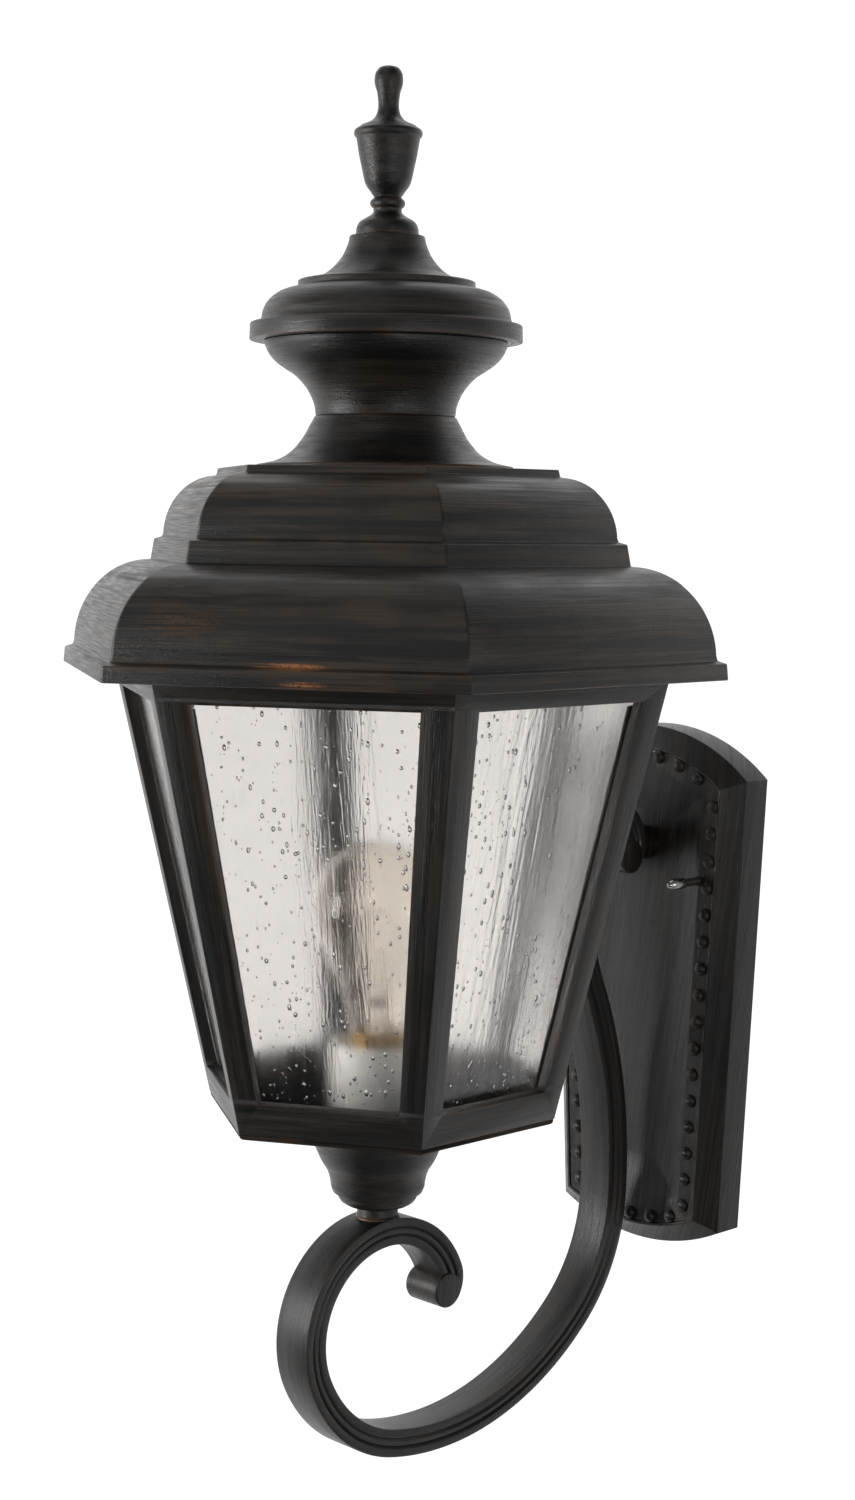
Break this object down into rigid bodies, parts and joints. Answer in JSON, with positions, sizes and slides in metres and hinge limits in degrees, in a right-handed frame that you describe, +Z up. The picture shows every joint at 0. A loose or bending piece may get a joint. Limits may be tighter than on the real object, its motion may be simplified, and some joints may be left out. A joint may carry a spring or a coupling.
{
  "type": "outdoor wall lantern",
  "caption": "Outdoor wall lantern: a tapered hexagonal cage of seeded glass under a stacked cast roof, on a reeded scroll arm from a beaded wall plate.",
  "frame": {"origin": "centre of the mounting strap's back face, on the wall plane", "axes": "+Z up, +Y into the wall, so the lantern stands out towards -Y; X across the wall plate"},
  "size_m": [0.264, 0.3469, 0.6171],
  "materials": {
    "bronze": "cast aluminium in dark oil-rubbed bronze paint, satin, brushed thin on edges",
    "black_steel": "satin black",
    "zinc_steel": "zinc plated",
    "green_zinc": "green-dyed zinc",
    "nickel": "polished nickel",
    "seeded_glass": "hazy seeded glass with bubbles",
    "porcelain": "glazed white",
    "brass": "drawn brass, slightly dull",
    "bulb_glass": "clear with a faint amber tint",
    "stem_glass": "clear",
    "tungsten": "drawn wire"
  },
  "bodies": {
    "fixture": {"wall_plate": "bronze", "mounting_strap": "zinc_steel", "stud_left": "zinc_steel", "stud_nut_left": "zinc_steel", "stud_right": "zinc_steel", "stud_nut_right": "zinc_steel", "ground_screw": "green_zinc", "arm_bolt": "zinc_steel", "arm_washer": "zinc_steel", "scroll_arm": "bronze", "neck": "bronze", "nipple": "zinc_steel", "socket_cup": "bronze", "stem_nut": "zinc_steel", "cage_floor": "bronze", "floor_screw_1": "black_steel", "floor_screw_2": "black_steel", "floor_screw_3": "black_steel", "cage_frame": "bronze", "pane_1": "seeded_glass", "pane_2": "seeded_glass", "pane_3": "seeded_glass", "pane_4": "seeded_glass", "pane_5": "seeded_glass", "pane_6": "seeded_glass", "corner_strip_1": "black_steel", "corner_strip_2": "black_steel", "corner_strip_3": "black_steel", "corner_strip_4": "black_steel", "corner_strip_5": "black_steel", "corner_strip_6": "black_steel", "socket_body": "porcelain", "socket_shell": "brass", "socket_contact": "brass", "cross_bar": "black_steel", "bar_screw_1": "zinc_steel", "bar_screw_2": "zinc_steel", "tie_rod": "zinc_steel", "rod_nut_lower": "zinc_steel", "rod_nut_upper": "zinc_steel"},
    "roof_stack": {"roof": "bronze", "collar": "bronze", "vent_bowl": "bronze", "upper_cap": "bronze"},
    "finial_knob": {"finial": "bronze"},
    "bulb": {"bulb_cap": "brass", "bulb_glass": "bulb_glass", "bulb_stem": "stem_glass", "bulb_filament": "tungsten"},
    "left_ball_nut": {"ball_nut_left": "nickel"},
    "right_ball_nut": {"ball_nut_right": "nickel"}
  },
  "joints": [
    {"name": "roof_lift", "type": "slide", "parent": "fixture", "child": "roof_stack", "axis": [0, 0, 1], "range_m": [0, 0.125]},
    {"name": "finial_turn", "type": "hinge", "parent": "roof_stack", "child": "finial_knob", "pos_m": [0, -0.1945, 0.3], "axis": [0, 0, 1], "continuous": true},
    {"name": "bulb_out", "type": "slide", "parent": "fixture", "child": "bulb", "axis": [0, 0, 1], "range_m": [0, 0.026]},
    {"name": "left_ball_nut_turn", "type": "hinge", "parent": "fixture", "child": "left_ball_nut", "pos_m": [-0.0387, -0.036, 0], "axis": [0, 1, 0], "continuous": true},
    {"name": "right_ball_nut_turn", "type": "hinge", "parent": "fixture", "child": "right_ball_nut", "pos_m": [0.0387, -0.036, 0], "axis": [0, 1, 0], "continuous": true}
  ]
}
